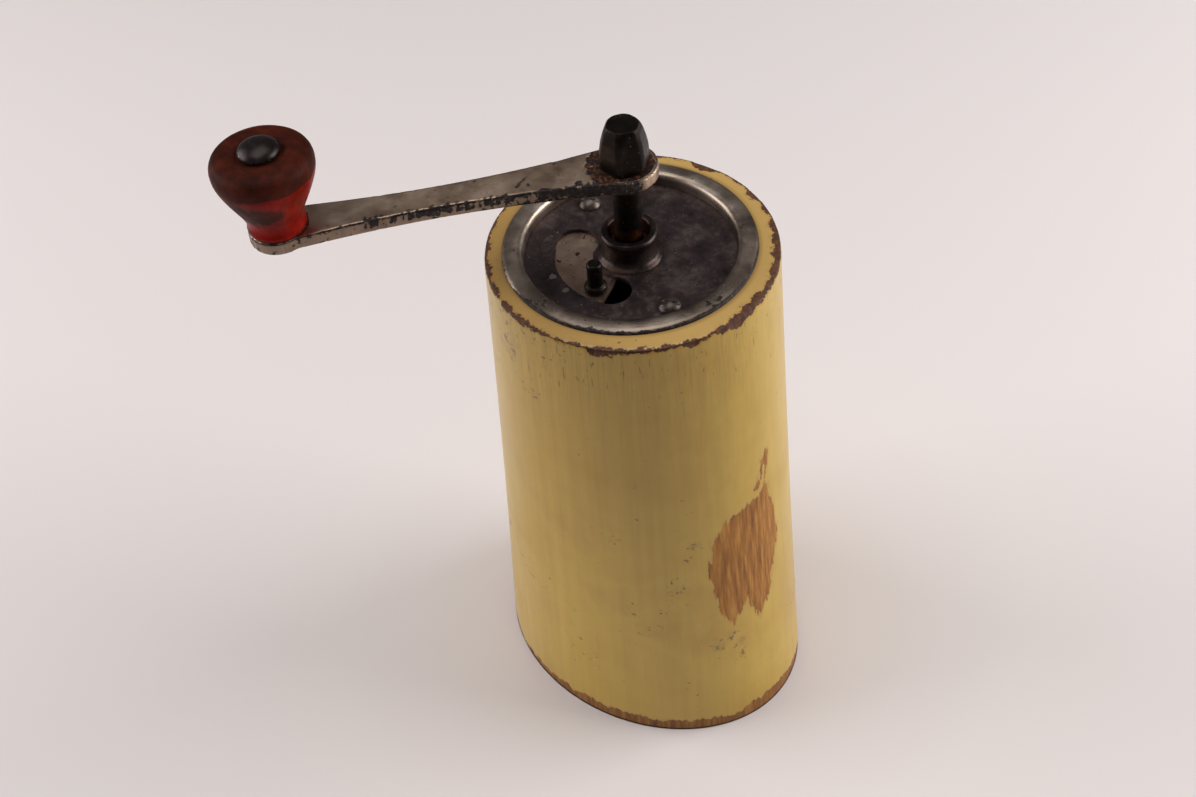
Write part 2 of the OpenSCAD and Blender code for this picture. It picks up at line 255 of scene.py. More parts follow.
def brushed_paint_on_wood():
    """Oil paint brushed onto turned beech: cream-yellow with fine upright brush marks, specks and grime, a
    satin gloss, chipped to dark old wood along the edges and to clean bare wood where a flake came off. A painted
    shade darkens the side that faces the front."""
    finish, tree, shader = blank("brushed_oil_paint_on_beech", IOR=1.52, Coat_Weight=0.1, Coat_Roughness=0.26)
    place = add(tree, "TexCoord", out="Object")
    upright = add(tree, "Mapping", {"Vector": place, "Scale": (1.0, 1.0, 0.03)})
    # brush hairs about 0.7 mm wide, drawn out along the height
    hairs = noise(tree, upright, 1400.0, 3.0, 0.6)
    broad = noise(tree, upright, 330.0, 3.0, 0.55)
    cloud = noise(tree, place, 26.0, 4.0, 0.6)
    ragged = noise(tree, place, 560.0, 4.0, 0.66)
    torn_place = add(tree, "Mapping", {"Vector": place, "Scale": (1.0, 1.0, 0.2)})
    torn = noise(tree, torn_place, 620.0, 3.0, 0.6)
    bare = mark(tree, "bare")
    fresh = mark(tree, "fresh")
    grime = mark(tree, "grime")
    brushed = mark(tree, "brushed")
    aged = mark(tree, "aged")
    rim_face = mark(tree, "rim_face")
    # the edge of the paint is ragged by about 0.8 mm, and torn along the grain at the flake
    ragged = spread(tree, ragged, 0.25, 0.75, -0.9, 0.9)
    torn = spread(tree, torn, 0.3, 0.7, -1.5, 1.5)
    jag = between(tree, fresh, ragged, torn)
    gone = maths(tree, "ADD", bare, jag)
    gone_mask = ease(tree, gone, -0.05, 0.10)
    rim_mask = ease(tree, gone, -1.0, 0.0)

    paint = add(tree, "ValToRGB", {"Fac": broad}, [(0.2, "bf9c37"), (0.5, "c5a33c"), (0.8, "cba944")])
    tint = add(tree, "ValToRGB", {"Fac": cloud}, [(0.3, "ecdfc4"), (0.5, "ffffff"), (0.72, "f4ecd8")])
    paint = blend(tree, 0.8, paint, tint, "MULTIPLY")
    lines = spread(tree, hairs, 0.3, 0.55, 0.8, 1.0)
    paint = blend(tree, brushed, paint, lines, "MULTIPLY")
    # the flat rim was brushed across its end grain and has gone tan
    paint = blend(tree, rim_face, paint, rgb("c8a468"))
    # darkens the paint: brown dirt on the rim's top to the left, a darker ring on the rim round the metal ring,
    # and painted shade in a band down the side that faces the front
    paint = blend(tree, aged, paint, rgb("ac9888"), "MULTIPLY")
    # dark dashes left between brush hairs, 0.5 mm wide and a few mm tall
    dash_place = add(tree, "Mapping", {"Vector": place, "Scale": (1.0, 1.0, 0.13)})
    dash = noise(tree, dash_place, 1000.0, 2.0, 0.5)
    dash_need = spread(tree, brushed, 0.0, 0.9, 0.82, 0.645)
    dash = maths(tree, "SUBTRACT", dash, dash_need)
    dash = ease(tree, dash, 0.0, 0.05, 0.0, 0.75)
    paint = blend(tree, dash, paint, rgb("6e4a1a"))
    # specks of dirt, 0.3 to 1 mm, thicker where hands and the table left grime
    speck = noise(tree, place, 430.0, 5.0, 0.68)
    need = spread(tree, grime, 0.0, 1.0, 0.685, 0.50)
    speck = maths(tree, "SUBTRACT", speck, need)
    speck = ease(tree, speck, 0.0, 0.04, 0.0, 0.8)
    paint = blend(tree, speck, paint, rgb("5e3f12"))
    smear = noise(tree, place, 150.0, 3.0, 0.6)
    smear = maths(tree, "MULTIPLY", smear, grime)
    smear = ease(tree, smear, 0.25, 0.7, 0.0, 0.4)
    paint = blend(tree, smear, paint, rgb("7d6233"))
    edge_dirt = maths(tree, "MULTIPLY", rim_mask, 0.4)
    paint = blend(tree, edge_dirt, paint, rgb("a07434"))

    grain_place = add(tree, "Mapping", {"Vector": place, "Scale": (1.0, 1.0, 0.06)})
    grain = noise(tree, grain_place, 760.0, 5.0, 0.62)
    clean = add(tree, "ValToRGB", {"Fac": grain}, [(0.3, "74450f"), (0.5, "a06821"), (0.68, "be873a")])
    old = add(tree, "ValToRGB", {"Fac": grain}, [(0.3, "2e180a"), (0.52, "522c10"), (0.75, "7a4a1c")])
    wood = blend(tree, fresh, old, clean)
    colour = blend(tree, gone_mask, paint, wood)
    tree.links.new(colour, shader.inputs["Base Color"])
    gloss = spread(tree, cloud, 0.3, 0.7, 0.27, 0.36)
    rough = between(tree, gone_mask, gloss, 0.75)
    tree.links.new(rough, shader.inputs["Roughness"])
    # the paint stands about 0.15 mm proud of bare wood; brush marks and grain are finer still
    relief = maths(tree, "MULTIPLY", gone_mask, -0.15)
    relief = maths(tree, "MULTIPLY_ADD", hairs, 0.012, relief)
    relief = maths(tree, "MULTIPLY_ADD", broad, 0.008, relief)
    fibres = maths(tree, "MULTIPLY", grain, gone_mask)
    relief = maths(tree, "MULTIPLY_ADD", fibres, 0.07, relief)
    bump = add(tree, "Bump", {"Height": relief, "Distance": 0.001, "Strength": 0.8})
    tree.links.new(bump, shader.inputs["Normal"])
    return finish


def nickel_worn_and_shaded(name, thin, metals, steels):
    """Nickel plate on pressed steel: warm pinkish grey metal, dulled by age, gone through to dark steel where the
    wear attribute is high and to rusty brown where the rust attribute is. On the ring and the arm those
    attributes also carry painted shade, so there the same darkening stands for shade. The plate is gone where its
    noise and the wear add up to more than thin."""
    finish, tree, shader = blank(name)
    place = add(tree, "TexCoord", out="Object")
    wear = mark(tree, "wear")
    rust = mark(tree, "rust")
    patch = noise(tree, place, 420.0, 5.0, 0.66)
    haze = noise(tree, place, 110.0, 5.0, 0.62)
    pits = noise(tree, place, 900.0, 3.0, 0.6)
    through = maths(tree, "ADD", patch, wear)
    through = ease(tree, through, thin, thin + 0.035)
    metal = add(tree, "ValToRGB", {"Fac": haze}, metals)
    # thin plating goes brown before it goes through; where the wear attribute carries painted shade, this
    # browning is painted shade
    tarnish_and_shade = ease(tree, wear, 0.12, 0.5, 0.0, 0.72)
    metal = blend(tree, tarnish_and_shade, metal, rgb("4e4037"))
    pit = ease(tree, pits, 0.66, 0.71, 0.0, 0.75)
    metal = blend(tree, pit, metal, rgb("4a3529"))
    steel = add(tree, "ValToRGB", {"Fac": pits}, steels)
    colour = blend(tree, through, metal, steel)
    stain_and_shade = maths(tree, "MULTIPLY", patch, rust)
    stain_and_shade = ease(tree, stain_and_shade, 0.36, 0.50)
    browns = add(tree, "ValToRGB", {"Fac": pits}, [(0.38, "1d1511"), (0.52, "33211a"), (0.62, "6e3f20")])
    colour = blend(tree, stain_and_shade, colour, browns)
    tree.links.new(colour, shader.inputs["Base Color"])
    dull = maths(tree, "MAXIMUM", through, stain_and_shade)
    metallic = spread(tree, dull, 0.0, 1.0, 1.0, 0.5)
    tree.links.new(metallic, shader.inputs["Metallic"])
    rough = spread(tree, haze, 0.3, 0.7, 0.28, 0.44)
    rough = between(tree, dull, rough, 0.55)
    tree.links.new(rough, shader.inputs["Roughness"])
    relief = maths(tree, "MULTIPLY", dull, -0.10)
    relief = maths(tree, "MULTIPLY_ADD", haze, 0.12, relief)
    relief = maths(tree, "MULTIPLY_ADD", pits, 0.05, relief)
    bump = add(tree, "Bump", {"Height": relief, "Distance": 0.001, "Strength": 0.8})
    tree.links.new(bump, shader.inputs["Normal"])
    return finish


def darkened_steel(name, stops, rough_range, scale=260.0, rust_colour="4b2513", metallic=0.75, rubbed=()):
    """Bare steel gone dark with handling, oil and old rust: a near-black brown metal, mottled at a few
    millimetres, with small bright rubbed spots, and brown rust where the attribute 'rust' is high. rubbed lists
    pale spots as (place in mm, radius in mm)."""
    finish, tree, shader = blank(name, Metallic=metallic)
    place = add(tree, "TexCoord", out="Object")
    rust = mark(tree, "rust")
    mottle = noise(tree, place, scale, 6.0, 0.68)
    cloud = noise(tree, place, 70.0, 3.0)
    pits = noise(tree, place, 1300.0, 2.0)
    mixed = between(tree, 0.45, mottle, cloud)
    colour = add(tree, "ValToRGB", {"Fac": mixed}, stops)
    bright = ease(tree, pits, 0.69, 0.75, 0.0, 0.7)
    colour = blend(tree, bright, colour, rgb("8a7f78"))
    for spot, radius in rubbed:
        spot_at, size = tuple(c * MM for c in spot), radius * MM
        far = add(tree, "VectorMath", {0: place, 1: spot_at}, out="Value", operation="DISTANCE")
        far = maths(tree, "MULTIPLY_ADD", mottle, -3.0 * size, far)
        spot_mask = ease(tree, far, -0.6 * size, -0.3 * size, 0.6, 0.0)
        colour = blend(tree, spot_mask, colour, rgb("968a84"))
    stain_and_shade = maths(tree, "MULTIPLY", mottle, rust)
    stain_and_shade = ease(tree, stain_and_shade, 0.25, 0.5)
    colour = blend(tree, stain_and_shade, colour, rgb(rust_colour))
    tree.links.new(colour, shader.inputs["Base Color"])
    rough = spread(tree, mottle, 0.3, 0.7, rough_range[0], rough_range[1])
    rough = between(tree, stain_and_shade, rough, 0.7)
    tree.links.new(rough, shader.inputs["Roughness"])
    relief = maths(tree, "MULTIPLY", mottle, 0.12)
    relief = maths(tree, "MULTIPLY_ADD", pits, 0.03, relief)
    bump = add(tree, "Bump", {"Height": relief, "Distance": 0.001, "Strength": 0.7})
    tree.links.new(bump, shader.inputs["Normal"])
    return finish


def lacquered_knob_wood():
    """Red lacquer on turned beech: bright red where the palm does not reach and, partly as painted light, on the
    side towards the right lamp; rubbed brown and near black by the palm on the crown and in a smear down the
    front; browner under the rim and at the base as painted shade; with fine turning lines."""
    finish, tree, shader = blank("red_lacquer_on_turned_beech", IOR=1.5, Specular_IOR_Level=0.06)
    place = add(tree, "TexCoord", out="Object")
    worn = mark(tree, "worn")
    patch = noise(tree, place, 170.0, 5.0, 0.62)
    fine = noise(tree, place, 1100.0, 3.0, 0.6)
    rings = add(tree, "Mapping", {"Vector": place, "Scale": (0.06, 0.06, 1.0)})
    lathe = noise(tree, rings, 1600.0, 2.0)
    red = add(tree, "ValToRGB", {"Fac": patch}, [(0.3, "560b06"), (0.5, "7e1108"), (0.7, "98180d")])
    brown = add(tree, "ValToRGB", {"Fac": patch}, [(0.3, "28110a"), (0.5, "3d170e"), (0.7, "4f2014")])
    gone = maths(tree, "ADD", patch, worn)
    gone = ease(tree, gone, 0.85, 1.15)
    colour = blend(tree, gone, red, brown)
    dirt = ease(tree, fine, 0.62, 0.72, 0.0, 0.55)
    colour = blend(tree, dirt, colour, rgb("1d0d09"))
    tree.links.new(colour, shader.inputs["Base Color"])
    rough = spread(tree, gone, 0.0, 1.0, 0.36, 0.52)
    tree.links.new(rough, shader.inputs["Roughness"])
    relief = maths(tree, "MULTIPLY", lathe, 0.04)
    relief = maths(tree, "MULTIPLY_ADD", patch, 0.12, relief)
    bump = add(tree, "Bump", {"Height": relief, "Distance": 0.001, "Strength": 0.7})
    tree.links.new(bump, shader.inputs["Normal"])
    return finish


def turned_brass():
    """Turned brass, oily and brown in patches: a yellow metal with fine lathe rings."""
    finish, tree, shader = blank("turned_brass", Metallic=1.0)
    place = add(tree, "TexCoord", out="Object")
    rings = add(tree, "Mapping", {"Vector": place, "Scale": (0.08, 0.08, 1.0)})
    lathe = noise(tree, rings, 1400.0, 2.0)
    cloud = noise(tree, place, 160.0, 4.0)
    colour = add(tree, "ValToRGB", {"Fac": cloud}, [(0.3, "6b4d22"), (0.5, "a27f41"), (0.7, "b99652")])
    tree.links.new(colour, shader.inputs["Base Color"])
    rough = spread(tree, cloud, 0.3, 0.7, 0.5, 0.28)
    tree.links.new(rough, shader.inputs["Roughness"])
    bump = add(tree, "Bump", {"Height": lathe, "Distance": 0.00005, "Strength": 0.6})
    tree.links.new(bump, shader.inputs["Normal"])
    return finish


def tinned_sheet():
    """Tinned sheet steel, spun to shape: dull silver grey with faint spinning rings and coffee-brown stains."""
    finish, tree, shader = blank("tinned_sheet_steel", Metallic=0.9)
    place = add(tree, "TexCoord", out="Object")
    rings = add(tree, "Mapping", {"Vector": place, "Scale": (0.1, 0.1, 1.0)})
    spun = noise(tree, rings, 900.0, 2.0)
    cloud = noise(tree, place, 70.0, 5.0, 0.62)
    colour = add(tree, "ValToRGB", {"Fac": cloud}, [(0.3, "6d5a48"), (0.45, "989089"), (0.7, "b3aea9")])
    tree.links.new(colour, shader.inputs["Base Color"])
    rough = spread(tree, cloud, 0.3, 0.7, 0.6, 0.36)
    tree.links.new(rough, shader.inputs["Roughness"])
    bump = add(tree, "Bump", {"Height": spun, "Distance": 0.00008, "Strength": 0.6})
    tree.links.new(bump, shader.inputs["Normal"])
    return finish


paint = brushed_paint_on_wood()
# the ring's plate is greyer, the arm's is rubbed pinkish and the shutter's is stained brown
ring_nickel = nickel_worn_and_shaded("nickel_plate_worn_and_shaded", 1.0, [(0.3, "8c7d72"), (0.5, "a69789"), (0.7, "baada0")],
                          [(0.35, "15110f"), (0.55, "27201d"), (0.7, "4b423d")])
arm_nickel = nickel_worn_and_shaded("nickel_bar_worn_and_shaded", 1.0, [(0.3, "ab917c"), (0.5, "c3aa94"), (0.7, "d0baa6")],
                         [(0.35, "14100e"), (0.52, "241d1a"), (0.66, "453b35")])
sheet_nickel = nickel_worn_and_shaded("stained_nickel_sheet", 0.6, [(0.3, "8f7563"), (0.5, "a08776"), (0.7, "ad9788")],
                           [(0.35, "2b1c14"), (0.55, "3b281c"), (0.7, "5a4030")])
# the plate is dull and mottled, with three rubbed spots
plate_steel = darkened_steel("darkened_plate_steel", [(0.3, "251d1e"), (0.5, "443838"), (0.7, "70635e")],
                             (0.34, 0.52), rubbed=(((-12.2, -20.5, PLATE_Z), 1.15), ((-5.4, -22.6, PLATE_Z), 0.8),
                                                   ((-23.0, -4.9, PLATE_Z), 0.4)))
# screw heads are rubbed smoother and paler; the nut, the spindle and the stud are almost black with oil
head_steel = darkened_steel("screw_head_steel", [(0.3, "2c2422"), (0.5, "4c423d"), (0.7, "766a63")],
                            (0.26, 0.44))
black_steel = darkened_steel("oil_blackened_steel", [(0.3, "110d0b"), (0.5, "1c1613"), (0.75, "3d332c")],
                             (0.34, 0.5), metallic=0.9)
# the boss is handled smooth, the bush inside it is rusty and rough, the rivet is dark and even
boss_steel = darkened_steel("handled_boss_steel", [(0.3, "1c1614"), (0.5, "332926"), (0.72, "5a4b43")],
                            (0.24, 0.42))
bush_steel = darkened_steel("rusty_bush_steel", [(0.3, "1e120c"), (0.5, "3a2013"), (0.7, "5d3216")], (0.4, 0.6))
rivet_steel = darkened_steel("rubbed_rivet_steel", [(0.3, "1b1514"), (0.5, "2b2322"), (0.7, "463c3a")],
                             (0.3, 0.42))
# inside the mill: plain grey steel under oil, and rougher, darker cast iron
plain_steel = darkened_steel("plain_steel_oily", [(0.3, "4a4541"), (0.5, "6c6763"), (0.7, "8a8581")],
                             (0.3, 0.5))
burr_iron = darkened_steel("cast_iron_burr", [(0.3, "2c2927"), (0.5, "45413e"), (0.7, "5d5854")], (0.4, 0.62))
knob_wood = lacquered_knob_wood()
brass = turned_brass()
tin = tinned_sheet()


# ---------------------------------------------------------------- body

# Edge chips: middle in degrees, half length in degrees, reach down the side, reach over the top, in mm.
CHIPS = [(293, 3.2, 3.2, 0.9), (297, 6, 2.4, 1.2), (306, 9, 1.3, 0.9), (318, 7, 1.2, 0.7), (326, 4, 0.9, 0.9),
         (330, 4, 2.3, 0.8), (335, 3, 1.4, 0.6), (252, 5, 2.2, 1.6), (260, 7, 1.7, 1.4), (269, 7, 1.1, 0.9),
         (277, 5, 0.8, 0.5), (240, 6, 1.3, 1.4), (228, 7, 1.1, 1.7), (214, 8, 1.3, 1.6), (202, 5, 0.9, 1.1),
         (343, 4, 2.0, 1.4), (350, 6, 3.0, 1.8), (357, 5, 2.2, 2.2), (4, 6, 1.5, 2.3), (12, 6, 1.1, 1.3),
         (22, 6, 1.3, 1.9), (31, 6, 1.5, 2.4), (39, 5, 1.1, 2.0), (48, 6, 0.8, 1.9), (58, 6, 0.9, 1.5),
         (68, 6, 0.7, 2.2), (80, 5, 0.6, 0.9), (95, 7, 1.0, 3.1), (118, 9, 1.0, 1.2), (143, 6, 1.6, 0.8),
         (168, 10, 0.9, 1.4), (190, 6, 1.7, 0.9)]
# Outline of the bare flake, in degrees round the body and mm of height.
FLAKE = [(359, 107), (355, 104), (346, 103), (339, 102), (334, 98), (330, 92), (329, 80), (331, 67), (334, 56),
         (337, 52), (341, 56), (345, 62), (348, 54), (351, 48), (357, 56), (362, 68), (366, 82), (364, 93),
         (361, 104)]
# Thin bare cracks above it: from, to, half width in mm.
FLAKE_TAIL = [((360, 105), (361, 119), 0.9), ((361, 119), (356, 112), 1.1), ((358, 113), (354, 108), 0.6)]
# Grimy places: degrees, height, radius in mm, strength.
GRIMY = [(324, 95, 6, 1.0), (320, 88, 5, 0.8), (330, 43, 7, 1.0), (340, 42, 6, 0.9), (336, 47, 6, 0.9),
         (300, 60, 18, 0.5), (250, 55, 16, 0.5), (275, 30, 18, 0.5), (262, 150, 10, 0.8), (250, 163, 12, 0.95),
         (238, 168, 10, 0.8), (318, 22, 14, 0.45), (340, 36, 9, 0.6), (285, 165, 12, 0.55), (236, 150, 12, 0.6),
         (305, 108, 8, 0.5), (292, 98, 5, 0.7), (303, 124, 4, 0.9), (228, 62, 6, 1.0), (120, 70, 26, 0.5),
         (160, 120, 20, 0.5), (60, 60, 22, 0.5), (190, 50, 20, 0.6), (315, 75, 12, 0.55)]
FLAKE_MID = 350.0
MM_PER_DEG = 0.82


def from_line(x, y, a, b):
    """Distance from each point to the line from a to b."""
    ab = np.array(b, float) - a
    t = np.clip(((x - a[0]) * ab[0] + (y - a[1]) * ab[1]) / (ab @ ab), 0, 1)
    return np.hypot(x - a[0] - t * ab[0], y - a[1] - t * ab[1])


def inside_outline(x, y, corners):
    """Signed distance to a closed outline, positive inside, by the even-odd rule."""
    near, inside = np.full(x.shape, 1e9), np.zeros(x.shape, bool)
    for a, b in zip(corners, np.roll(corners, -1, 0)):
        near = np.minimum(near, from_line(x, y, a, b))
        crosses = (a[1] > y) != (b[1] > y)
        inside ^= crosses & (x < (b[0] - a[0]) * (y - a[1]) / (b[1] - a[1] + 1e-12) + a[0])
    return np.where(inside, near, -near)


def turn_gap(degrees, middle):
    """Angle from middle to each point, in degrees from -180 to 180."""
    return (degrees - middle + 180) % 360 - 180


def wooden_body(columns=430):
    """The body as one ring-shaped grid. A row goes round it. Rows run from the bore's lower edge out over the
    foot, up the side, over the top and down the bores back to the start. On the side a row is an ellipse whose
    half axes go in a straight line from foot to top, drawn in by up to 0.9 % half way up. Chips, the flake and
    the foot's wear press the surface in by their depth."""
    t = np.arange(columns) / columns * TAU
    deg = np.degrees(t)[None, :]
    side_z = np.concatenate([[0.0, 0.25, 0.7, 1.3, 2.0, 2.8, 3.8], np.linspace(5, 168, 112),
                             np.linspace(169, 175, 9),
                             [175.6, 176.1, 176.6, 177.0, 177.35, 177.65, 177.85, 178.0]])
    over = np.array([0.15, 0.35, 0.65, 1.0, 1.4, 1.9, 2.5, 3.2, 4.2, 5.5, 7.0, 8.6])
    down = dense(eased([(MOUTH_R, BODY_H), (MOUTH_R, LEDGE_Z), (BORE_R, LEDGE_Z), (BORE_R, FLANGE_Z),
                        (WEB_R, FLANGE_Z), (WEB_R, WEB_Z), (BORE_R, WEB_Z), (BORE_R, 0.0)], 0.4), 12)
    under = np.array([0.12, 0.4, 0.7, 0.9, 0.97, 0.993])

    def oval(z):
        k = np.clip(z / BODY_H, 0, 1)[:, None, None]
        half = FOOT + (TOP - FOOT) * k
        half = half * (1 - 0.009 * np.sin(np.pi * k))
        return BODY_AT + half * np.stack([np.cos(t), np.sin(t)], -1)[None]

    circle = np.stack([np.cos(t), np.sin(t)], -1)[None]
    share = under[:, None, None]
    foot_rows = BORE_R * circle * (1 - share) + oval(np.zeros(len(under))) * share
    side_rows = oval(side_z)
    edge = oval(np.full(len(over), BODY_H))
    top_rows = edge + (MOUTH_R * circle - edge) * (over / 10.0)[:, None, None]
    bore_rows = down[:, 0][:, None, None] * circle
    flat = np.concatenate([foot_rows, side_rows, top_rows, bore_rows])
    z = np.concatenate([np.zeros(len(under)), side_z, np.full(len(over), BODY_H), down[:, 1]])
    z = np.broadcast_to(z[:, None], flat.shape[:2]).copy()
    group = np.repeat(np.arange(4), [len(under), len(side_z), len(over), len(down)])
    on_foot, on_side, on_top, in_bore = ((group == k)[:, None] for k in range(4))
    inward = np.zeros(len(z))
    inward[group == 2] = over
    from_edge = np.where(on_side, BODY_H - z, np.where(on_top, inward[:, None], 99.0))

    reach_side = 0.45 + 0.40 * ripple(t, 11, 16, 9, 0.35)[None]
    reach_top = 0.75 + 0.45 * ripple(t, 12, 16, 9, 0.35)[None]
    for middle, half, low, high in CHIPS:
        lump = np.clip(1 - (turn_gap(deg, middle) / half) ** 2, 0, 1) ** 0.8
        reach_side = np.maximum(reach_side, low * lump + 0.25 * ripple(t, 13, 18, 11, 0.3)[None])
        reach_top = np.maximum(reach_top, high * lump + 0.2 * ripple(t, 14, 18, 11, 0.3)[None])
    edge_bare = np.where(on_top, reach_top, reach_side) - from_edge
    foot_reach = (3.6 + 1.8 * turned_to(t, 325, 0.2, 0.9) + 2.2 * ripple(t, 15, 16, 5, 0.4))[None]
    foot_bare = np.where(on_side, foot_reach - z, np.where(on_foot, 1.5, -9))
    x = turn_gap(deg, FLAKE_MID) * MM_PER_DEG + 0 * z
    corners = np.array([((d - FLAKE_MID) * MM_PER_DEG, h) for d, h in FLAKE])
    flake = inside_outline(x, z, corners)
    for (d0, h0), (d1, h1), wide in FLAKE_TAIL:
        near = from_line(x, z, ((d0 - FLAKE_MID) * MM_PER_DEG, h0), ((d1 - FLAKE_MID) * MM_PER_DEG, h1))
        flake = np.maximum(flake, wide - near)
    flake = np.where(on_side, flake, -9)
    inner = in_bore & (z < BODY_H - 0.5)
    bare = np.maximum(np.maximum(edge_bare, foot_bare), flake)
    bare = np.where(inner, 6.0, bare)
    fresh = np.where(on_side, smooth_step(flake - np.maximum(edge_bare, foot_bare), -3.0, 0.0), 0.0)
    fresh = np.maximum(fresh, 0.68 * (1 - smooth_step(z, 6, 10)) * (on_side | on_foot))
    grime = np.zeros(z.shape)
    for middle, height, size, strength in GRIMY:
        far = np.hypot(turn_gap(deg, middle) * MM_PER_DEG, z - height)
        grime = np.maximum(grime, strength * (1 - smooth_step(far, 0, size)))
    left_side = turned_to(t, 250, 0.3, 0.95)[None]
    grime = np.where(on_side, np.maximum(grime, (0.3 + 0.25 * left_side) * smooth_step(z, 155, 176)), 0.2)
    # the rim's top is darker with brown dirt towards the left, and darker on the wood just round the ring
    browned = turned_to(t, 228, -0.35, 0.9)[None] + 0 * z
    near_ring = smooth_step(-np.linalg.norm(flat, axis=-1), -38.0, -36.9)
    # painted shade: a dark band from 30 to 160 mm up the side that faces the front
    painted_front_shade = 0.34 * smooth_step(z, 30, 160) * turned_to(t, 292, 0.1, 0.95)[None]
    aged = np.where(on_top, np.maximum(0.1 + 0.4 * browned, 0.7 * near_ring), painted_front_shade)
    near_top = 0.7 * smooth_step(z, 132, 172) + 0.18 * left_side * smooth_step(z, 120, 165)
    brushed = 0.12 + np.where(on_side, near_top, 0)

    # depth of each kind of wear, in mm
    press = (0.9 * smooth_step(edge_bare, -0.4, 2.2) + 0.12 * smooth_step(flake, -0.5, 0.5)
             + 0.3 * smooth_step(foot_bare, -0.6, 2.2) * on_side)
    round_off = 0.55 * np.exp(-from_edge / 0.45) + 0.3 * np.exp(-z / 0.35) * on_side
    wave = 0.10 * ripple(t, 16, 8, 2, 0.8)[None] * on_side
    wave = wave * smooth_step(z, 0, 12) * (1 - smooth_step(z, 166, 178))
    outward = (flat - BODY_AT) / np.linalg.norm(flat - BODY_AT, axis=-1, keepdims=True)
    shift = np.where(on_side, press * 0.8 + round_off + np.minimum(wave, 0), 0)
    flat = flat - outward * np.maximum(shift, 0)[..., None]
    sunk = 0.35 * press + 0.35 * np.exp(-from_edge / 0.5)
    z = z - np.where(on_top | (on_side & (from_edge < 0.2)), sunk, 0)
    points = np.concatenate([flat, z[..., None]], -1)
    return points, {"bare": bare, "fresh": fresh, "grime": grime, "brushed": brushed, "aged": aged,
                    "rim_face": 0.75 * on_top}


body_grid, body_marks = wooden_body()
build("painted_wooden_body", [(body_grid, True, body_marks)], paint, "mill_body", ["body_shell"])


# ---------------------------------------------------------------- top fittings

def marks(profile, columns, rule, seed):
    """Attributes of a turned piece: rule gives them from radius, height, angle and a ripple round the turn."""
    t = np.arange(columns) / columns * TAU
    r, z = profile[:, 0][:, None] + 0 * t, profile[:, 1][:, None] + 0 * t
    return rule(r, z, t[None] + 0 * r, ripple(t, seed, 14, 5, 0.5)[None] + 0 * r)


# Where the ring's plating is most worn: degrees round, half width in degrees, strength.
RING_WORN = [(355, 20, 1.0), (232, 8, 0.7), (258, 12, 0.9), (292, 9, 0.5), (20, 12, 0.6), (100, 30, 0.5),
             (160, 20, 0.4)]
RING_UP = 1.3


def rim_ring():
    """A pressed ring: a shallow arch from a radius of 36.7 to 30.7 mm, a rolled inner lip, then a wall down to
    the plate. The arch is dented by a tenth of a millimetre here and there."""
    arch = [(36.7, 0.1), (36.62, 0.42), (36.3, 0.72), (35.8, 0.98), (35.0, 1.16), (34.0, 1.27), (33.0, RING_UP),
            (32.2, 1.24), (31.5, 1.04), (31.0, 0.66), (30.68, 0.12), (30.52, -0.6)]
    arch = [(r, BODY_H + h) for r, h in arch]
    rest = [(30.5, PLATE_Z + 0.05), (31.15, PLATE_Z + 0.05), (31.15, BODY_H), (36.6, BODY_H)]
    profile = dense(eased(arch + rest, 0.25, closed=True), 1.2)
    columns = 320
    grid = turned(profile, columns)
    t = np.arange(columns) / columns * TAU
    dent = 0.07 * ripple(t, 21, 14, 4, 0.7)[None] * smooth_step(grid[..., 2], BODY_H + 0.3, BODY_H + 1.2)
    grid[..., 2] = np.minimum(grid[..., 2] + dent - 0.07, BODY_H + RING_UP)

    def rule(r, z, angle, wavy):
        outer = smooth_step(r, 35.5, 36.9)
        inner = 1 - smooth_step(r, 30.5, 31.8)
        turn = np.degrees(angle)
        zone = sum(strength * np.exp(-(turn_gap(turn, middle) / half) ** 2)
                   for middle, half, strength in RING_WORN)
        # painted shade: the front part of the ring gets extra wear so it comes out darker, and the inner slope
        # down to the plate gets extra wear and rust for the same; the listed zones are real worn patches and the
        # outer edge is a real corroded band
        front = turned_to(angle, 290, -0.2, 0.8)
        left = turned_to(angle, 206, 0.5, 0.95)
        wear = 0.06 + 0.26 * front * (1 - left) + 0.14 * wavy * outer + zone * (0.32 * outer + 0.19)
        wear = wear + (0.42 - 0.24 * left) * outer + (0.20 - 0.1 * left) * inner
        return {"wear": wear, "rust": 0.45 * outer + 0.25 * inner}

    return grid, marks(profile, columns, rule, 22)


ring_grid, ring_marks = rim_ring()
build("nickel_rim_ring", [(ring_grid, True, ring_marks)], ring_nickel, "mill_body", ["rim_ring"])

boss_top = BODY_H + 6.15
boss_profile = dense(eased([(5.55, PLATE_Z - 3.2), (6.95, PLATE_Z - 3.2), (6.95, PLATE_Z + 0.02),
                            (9.6, PLATE_Z + 0.02), (9.2, PLATE_Z + 0.5), (8.2, PLATE_Z + 1.3),
                            (7.6, PLATE_Z + 2.6), (7.45, PLATE_Z + 4.4), (7.5, boss_top - 3.1),
                            (8.3, boss_top - 2.5), (8.35, boss_top - 0.9), (7.7, boss_top), (6.3, boss_top),
                            (5.8, boss_top - 0.5), (5.8, BODY_H + 3), (5.55, BODY_H + 2.6)],
                           0.45, closed=True), 1.0)


def boss_rule(r, z, angle, wavy):
    """Rust in the hole and where the flange meets the plate."""
    hole = 0.95 * (1 - smooth_step(r, 5.6, 6.4))
    flange = 0.35 * (1 - smooth_step(z, PLATE_Z, PLATE_Z + 2))
    return {"rust": hole + 0.25 + 0.2 * wavy + flange}


boss_grid = turned(boss_profile, 120, wobble=0.04, seed=31)
boss_marks = marks(boss_profile, 120, boss_rule, 32)
build("bearing_boss_turned", [(boss_grid, True, boss_marks)], boss_steel, "mill_body", ["bearing_boss"])


